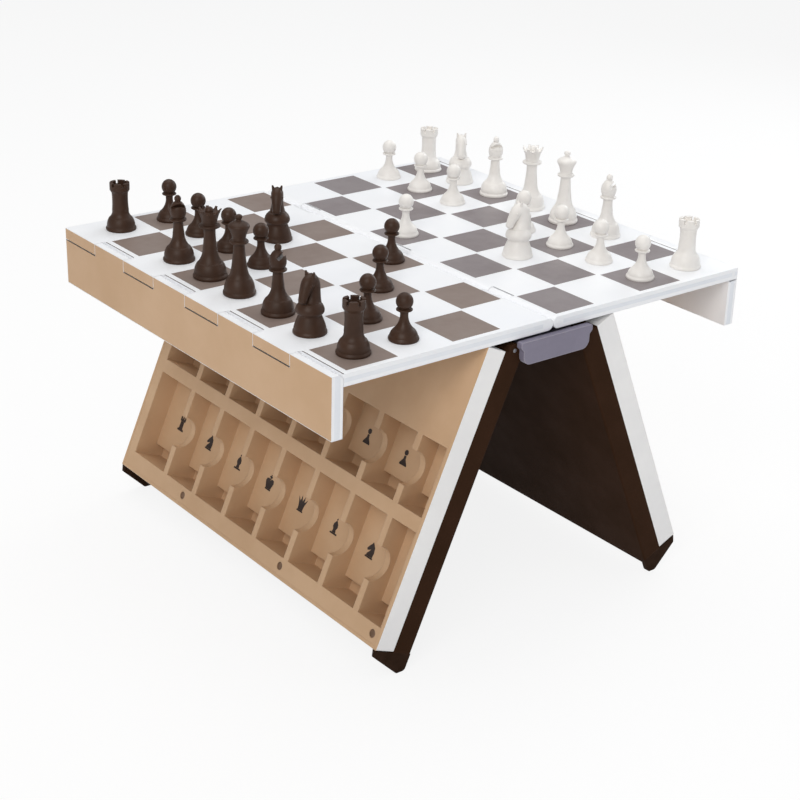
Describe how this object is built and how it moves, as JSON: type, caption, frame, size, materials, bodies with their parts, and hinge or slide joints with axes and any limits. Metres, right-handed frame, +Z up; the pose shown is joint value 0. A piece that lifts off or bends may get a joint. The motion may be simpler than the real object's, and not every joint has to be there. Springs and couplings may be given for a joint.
{
  "type": "folding chess board",
  "caption": "Book-like folding chess board that stands on its tray covers as a trestle, with hinged board leaves, hanging flaps, compartment trays and a set of loose chess pieces.",
  "frame": {"origin": "middle of the footprint on the table, straight below the fold", "axes": "+X across the fold towards the white pieces, +Y along the fold away from the near end, +Z up"},
  "size_m": [0.301, 0.2942, 0.2398],
  "materials": {
    "board_white": "satin",
    "dark_square": "satin",
    "tray_tan": "satin",
    "cover_brown": "grained",
    "frame_white": "satin",
    "spine_grey": "satin",
    "liner_grey": "matt",
    "steel": "plain",
    "magnet": "dull",
    "foot_rubber": "matt",
    "dark_piece": "semi-gloss",
    "white_piece": "semi-gloss"
  },
  "bodies": {
    "spine": {"spine_bar": "spine_grey", "spine_end_caps": "spine_grey", "fold_brackets": "board_white", "hinge_pins": "steel"},
    "left_leg": {"left_cover": "cover_brown", "left_tray_frame": "frame_white", "left_tray_insert": "tray_tan", "left_tray_magnets": "magnet", "left_feet": "foot_rubber"},
    "left_leaf": {"left_board_leaf": "board_white", "left_dark_squares": "dark_square", "left_steel_sheet": "steel", "left_leaf_liner": "liner_grey", "left_flap_pin": "steel"},
    "left_flap_body": {"left_flap": "board_white", "left_flap_facing": "tray_tan"},
    "right_leg": {"right_cover": "cover_brown", "right_tray_frame": "frame_white", "right_tray_insert": "tray_tan", "right_tray_magnets": "magnet", "right_feet": "foot_rubber"},
    "right_leaf": {"right_board_leaf": "board_white", "right_dark_squares": "dark_square", "right_steel_sheet": "steel", "right_leaf_liner": "liner_grey", "right_flap_pin": "steel"},
    "right_flap_body": {"right_flap": "board_white", "right_flap_facing": "tray_tan"},
    "dark_king_body": {"dark_king": "dark_piece"},
    "dark_queen_body": {"dark_queen": "dark_piece"},
    "dark_bishop_1_body": {"dark_bishop_1": "dark_piece"},
    "dark_bishop_2_body": {"dark_bishop_2": "dark_piece"},
    "dark_knight_1_body": {"dark_knight_1": "dark_piece"},
    "dark_knight_2_body": {"dark_knight_2": "dark_piece"},
    "dark_rook_1_body": {"dark_rook_1": "dark_piece"},
    "dark_rook_2_body": {"dark_rook_2": "dark_piece"},
    "dark_pawn_1_body": {"dark_pawn_1": "dark_piece"},
    "dark_pawn_2_body": {"dark_pawn_2": "dark_piece"},
    "dark_pawn_3_body": {"dark_pawn_3": "dark_piece"},
    "dark_pawn_4_body": {"dark_pawn_4": "dark_piece"},
    "dark_pawn_5_body": {"dark_pawn_5": "dark_piece"},
    "dark_pawn_6_body": {"dark_pawn_6": "dark_piece"},
    "dark_pawn_7_body": {"dark_pawn_7": "dark_piece"},
    "dark_pawn_8_body": {"dark_pawn_8": "dark_piece"},
    "white_king_body": {"white_king": "white_piece"},
    "white_queen_body": {"white_queen": "white_piece"},
    "white_bishop_1_body": {"white_bishop_1": "white_piece"},
    "white_bishop_2_body": {"white_bishop_2": "white_piece"},
    "white_knight_1_body": {"white_knight_1": "white_piece"},
    "white_knight_2_body": {"white_knight_2": "white_piece"},
    "white_rook_1_body": {"white_rook_1": "white_piece"},
    "white_rook_2_body": {"white_rook_2": "white_piece"},
    "white_pawn_1_body": {"white_pawn_1": "white_piece"},
    "white_pawn_2_body": {"white_pawn_2": "white_piece"},
    "white_pawn_3_body": {"white_pawn_3": "white_piece"},
    "white_pawn_4_body": {"white_pawn_4": "white_piece"},
    "white_pawn_5_body": {"white_pawn_5": "white_piece"},
    "white_pawn_6_body": {"white_pawn_6": "white_piece"},
    "white_pawn_7_body": {"white_pawn_7": "white_piece"},
    "white_pawn_8_body": {"white_pawn_8": "white_piece"}
  },
  "joints": [
    {"name": "left_leg_fold", "type": "hinge", "parent": "spine", "child": "left_leg", "pos_m": [-0.0275, 0, 0.17951], "axis": [0, 1, 0], "range_deg": [0, 156.6]},
    {"name": "left_leaf_fold", "type": "hinge", "parent": "spine", "child": "left_leaf", "pos_m": [-0.00365, 0, 0.1895], "axis": [0, 1, 0], "range_deg": [0, 90]},
    {"name": "left_flap_fold", "type": "hinge", "parent": "left_leaf", "child": "left_flap_body", "pos_m": [-0.147, 0, 0.1895], "axis": [0, 1, 0], "range_deg": [0, 90]},
    {"name": "right_leg_fold", "type": "hinge", "parent": "spine", "child": "right_leg", "pos_m": [0.0275, 0, 0.17951], "axis": [0, -1, 0], "range_deg": [0, 156.6]},
    {"name": "right_leaf_fold", "type": "hinge", "parent": "spine", "child": "right_leaf", "pos_m": [0.00365, 0, 0.1895], "axis": [0, -1, 0], "range_deg": [0, 90]},
    {"name": "right_flap_fold", "type": "hinge", "parent": "right_leaf", "child": "right_flap_body", "pos_m": [0.147, 0, 0.1895], "axis": [0, -1, 0], "range_deg": [0, 90]},
    {"name": "dark_king_lift", "type": "slide", "parent": "spine", "child": "dark_king_body", "axis": [0, 0, 1], "range_m": [0, 0.3]},
    {"name": "dark_queen_lift", "type": "slide", "parent": "spine", "child": "dark_queen_body", "axis": [0, 0, 1], "range_m": [0, 0.3]},
    {"name": "dark_bishop_1_lift", "type": "slide", "parent": "spine", "child": "dark_bishop_1_body", "axis": [0, 0, 1], "range_m": [0, 0.3]},
    {"name": "dark_bishop_2_lift", "type": "slide", "parent": "spine", "child": "dark_bishop_2_body", "axis": [0, 0, 1], "range_m": [0, 0.3]},
    {"name": "dark_knight_1_lift", "type": "slide", "parent": "spine", "child": "dark_knight_1_body", "axis": [0, 0, 1], "range_m": [0, 0.3]},
    {"name": "dark_knight_2_lift", "type": "slide", "parent": "spine", "child": "dark_knight_2_body", "axis": [0, 0, 1], "range_m": [0, 0.3]},
    {"name": "dark_rook_1_lift", "type": "slide", "parent": "spine", "child": "dark_rook_1_body", "axis": [0, 0, 1], "range_m": [0, 0.3]},
    {"name": "dark_rook_2_lift", "type": "slide", "parent": "spine", "child": "dark_rook_2_body", "axis": [0, 0, 1], "range_m": [0, 0.3]},
    {"name": "dark_pawn_1_lift", "type": "slide", "parent": "spine", "child": "dark_pawn_1_body", "axis": [0, 0, 1], "range_m": [0, 0.3]},
    {"name": "dark_pawn_2_lift", "type": "slide", "parent": "spine", "child": "dark_pawn_2_body", "axis": [0, 0, 1], "range_m": [0, 0.3]},
    {"name": "dark_pawn_3_lift", "type": "slide", "parent": "spine", "child": "dark_pawn_3_body", "axis": [0, 0, 1], "range_m": [0, 0.3]},
    {"name": "dark_pawn_4_lift", "type": "slide", "parent": "spine", "child": "dark_pawn_4_body", "axis": [0, 0, 1], "range_m": [0, 0.3]},
    {"name": "dark_pawn_5_lift", "type": "slide", "parent": "spine", "child": "dark_pawn_5_body", "axis": [0, 0, 1], "range_m": [0, 0.3]},
    {"name": "dark_pawn_6_lift", "type": "slide", "parent": "spine", "child": "dark_pawn_6_body", "axis": [0, 0, 1], "range_m": [0, 0.3]},
    {"name": "dark_pawn_7_lift", "type": "slide", "parent": "spine", "child": "dark_pawn_7_body", "axis": [0, 0, 1], "range_m": [0, 0.3]},
    {"name": "dark_pawn_8_lift", "type": "slide", "parent": "spine", "child": "dark_pawn_8_body", "axis": [0, 0, 1], "range_m": [0, 0.3]},
    {"name": "white_king_lift", "type": "slide", "parent": "spine", "child": "white_king_body", "axis": [0, 0, 1], "range_m": [0, 0.3]},
    {"name": "white_queen_lift", "type": "slide", "parent": "spine", "child": "white_queen_body", "axis": [0, 0, 1], "range_m": [0, 0.3]},
    {"name": "white_bishop_1_lift", "type": "slide", "parent": "spine", "child": "white_bishop_1_body", "axis": [0, 0, 1], "range_m": [0, 0.3]},
    {"name": "white_bishop_2_lift", "type": "slide", "parent": "spine", "child": "white_bishop_2_body", "axis": [0, 0, 1], "range_m": [0, 0.3]},
    {"name": "white_knight_1_lift", "type": "slide", "parent": "spine", "child": "white_knight_1_body", "axis": [0, 0, 1], "range_m": [0, 0.3]},
    {"name": "white_knight_2_lift", "type": "slide", "parent": "spine", "child": "white_knight_2_body", "axis": [0, 0, 1], "range_m": [0, 0.3]},
    {"name": "white_rook_1_lift", "type": "slide", "parent": "spine", "child": "white_rook_1_body", "axis": [0, 0, 1], "range_m": [0, 0.3]},
    {"name": "white_rook_2_lift", "type": "slide", "parent": "spine", "child": "white_rook_2_body", "axis": [0, 0, 1], "range_m": [0, 0.3]},
    {"name": "white_pawn_1_lift", "type": "slide", "parent": "spine", "child": "white_pawn_1_body", "axis": [0, 0, 1], "range_m": [0, 0.3]},
    {"name": "white_pawn_2_lift", "type": "slide", "parent": "spine", "child": "white_pawn_2_body", "axis": [0, 0, 1], "range_m": [0, 0.3]},
    {"name": "white_pawn_3_lift", "type": "slide", "parent": "spine", "child": "white_pawn_3_body", "axis": [0, 0, 1], "range_m": [0, 0.3]},
    {"name": "white_pawn_4_lift", "type": "slide", "parent": "spine", "child": "white_pawn_4_body", "axis": [0, 0, 1], "range_m": [0, 0.3]},
    {"name": "white_pawn_5_lift", "type": "slide", "parent": "spine", "child": "white_pawn_5_body", "axis": [0, 0, 1], "range_m": [0, 0.3]},
    {"name": "white_pawn_6_lift", "type": "slide", "parent": "spine", "child": "white_pawn_6_body", "axis": [0, 0, 1], "range_m": [0, 0.3]},
    {"name": "white_pawn_7_lift", "type": "slide", "parent": "spine", "child": "white_pawn_7_body", "axis": [0, 0, 1], "range_m": [0, 0.3]},
    {"name": "white_pawn_8_lift", "type": "slide", "parent": "spine", "child": "white_pawn_8_body", "axis": [0, 0, 1], "range_m": [0, 0.3]}
  ],
  "couplings": [
    {"joint": "left_leaf_fold", "follows": "left_leg_fold", "ratio": 0.5747},
    {"joint": "left_flap_fold", "follows": "left_leg_fold", "ratio": 0.5747},
    {"joint": "right_leaf_fold", "follows": "right_leg_fold", "ratio": 0.5747},
    {"joint": "right_flap_fold", "follows": "right_leg_fold", "ratio": 0.5747},
    {"joint": "dark_king_lift", "follows": "left_leg_fold", "m_per_rad": 0.10976},
    {"joint": "dark_queen_lift", "follows": "left_leg_fold", "m_per_rad": 0.10976},
    {"joint": "dark_bishop_1_lift", "follows": "left_leg_fold", "m_per_rad": 0.10976},
    {"joint": "dark_bishop_2_lift", "follows": "left_leg_fold", "m_per_rad": 0.10976},
    {"joint": "dark_knight_1_lift", "follows": "left_leg_fold", "m_per_rad": 0.10976},
    {"joint": "dark_knight_2_lift", "follows": "left_leg_fold", "m_per_rad": 0.10976},
    {"joint": "dark_rook_1_lift", "follows": "left_leg_fold", "m_per_rad": 0.10976},
    {"joint": "dark_rook_2_lift", "follows": "left_leg_fold", "m_per_rad": 0.10976},
    {"joint": "dark_pawn_1_lift", "follows": "left_leg_fold", "m_per_rad": 0.10976},
    {"joint": "dark_pawn_2_lift", "follows": "left_leg_fold", "m_per_rad": 0.10976},
    {"joint": "dark_pawn_3_lift", "follows": "left_leg_fold", "m_per_rad": 0.10976},
    {"joint": "dark_pawn_4_lift", "follows": "left_leg_fold", "m_per_rad": 0.10976},
    {"joint": "dark_pawn_5_lift", "follows": "left_leg_fold", "m_per_rad": 0.10976},
    {"joint": "dark_pawn_6_lift", "follows": "left_leg_fold", "m_per_rad": 0.10976},
    {"joint": "dark_pawn_7_lift", "follows": "left_leg_fold", "m_per_rad": 0.10976},
    {"joint": "dark_pawn_8_lift", "follows": "left_leg_fold", "m_per_rad": 0.10976},
    {"joint": "white_king_lift", "follows": "right_leg_fold", "m_per_rad": 0.10976},
    {"joint": "white_queen_lift", "follows": "right_leg_fold", "m_per_rad": 0.10976},
    {"joint": "white_bishop_1_lift", "follows": "right_leg_fold", "m_per_rad": 0.10976},
    {"joint": "white_bishop_2_lift", "follows": "right_leg_fold", "m_per_rad": 0.10976},
    {"joint": "white_knight_1_lift", "follows": "right_leg_fold", "m_per_rad": 0.10976},
    {"joint": "white_knight_2_lift", "follows": "right_leg_fold", "m_per_rad": 0.10976},
    {"joint": "white_rook_1_lift", "follows": "right_leg_fold", "m_per_rad": 0.10976},
    {"joint": "white_rook_2_lift", "follows": "right_leg_fold", "m_per_rad": 0.10976},
    {"joint": "white_pawn_1_lift", "follows": "right_leg_fold", "m_per_rad": 0.10976},
    {"joint": "white_pawn_2_lift", "follows": "right_leg_fold", "m_per_rad": 0.10976},
    {"joint": "white_pawn_3_lift", "follows": "right_leg_fold", "m_per_rad": 0.10976},
    {"joint": "white_pawn_4_lift", "follows": "right_leg_fold", "m_per_rad": 0.10976},
    {"joint": "white_pawn_5_lift", "follows": "right_leg_fold", "m_per_rad": 0.10976},
    {"joint": "white_pawn_6_lift", "follows": "right_leg_fold", "m_per_rad": 0.10976},
    {"joint": "white_pawn_7_lift", "follows": "right_leg_fold", "m_per_rad": 0.10976},
    {"joint": "white_pawn_8_lift", "follows": "right_leg_fold", "m_per_rad": 0.10976}
  ]
}
